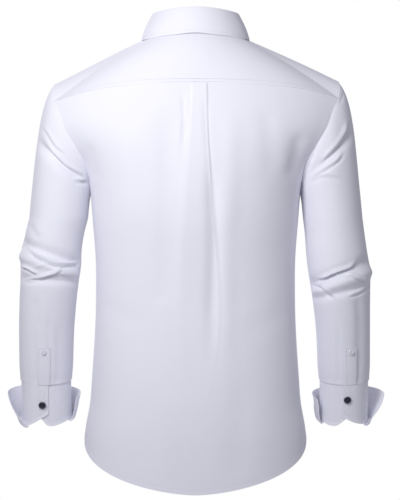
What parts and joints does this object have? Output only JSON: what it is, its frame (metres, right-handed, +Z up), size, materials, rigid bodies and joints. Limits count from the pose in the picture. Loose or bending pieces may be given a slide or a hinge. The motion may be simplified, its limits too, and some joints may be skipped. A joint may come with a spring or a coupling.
{
  "type": "long sleeve dress shirt",
  "caption": "White long sleeve dress shirt, filled out as worn, with a centre back box pleat, turned-back cuffs and dark cufflinks.",
  "frame": {"origin": "on the centre plane at the base of the collar, at the level where the collar meets the shoulders", "axes": "+Z up the body, front facing -Y, the wearer's left towards +X"},
  "size_m": [0.6296, 0.2531, 0.7848],
  "materials": {
    "cloth": "smooth woven cotton, soft sheen",
    "button": "pearly gloss",
    "cufflink": "dark glossy enamel"
  },
  "bodies": {
    "root": {"back": "cloth", "yoke": "cloth", "front_left": "cloth", "front_right": "cloth", "front_placket": "cloth", "collar_stand": "cloth", "collar_fall": "cloth", "front_button_1": "button", "front_button_2": "button", "front_button_3": "button", "front_button_4": "button", "front_button_5": "button", "front_button_6": "button", "front_button_7": "button", "collar_button": "button", "sleeve_left": "cloth", "sleeve_placket_left": "cloth", "sleeve_placket_button_left": "button", "cuff_band_left": "cloth", "cuff_turnback_left": "cloth", "cufflink_left": "cufflink", "sleeve_right": "cloth", "sleeve_placket_right": "cloth", "sleeve_placket_button_right": "button", "cuff_band_right": "cloth", "cuff_turnback_right": "cloth", "cufflink_right": "cufflink"}
  },
  "joints": []
}
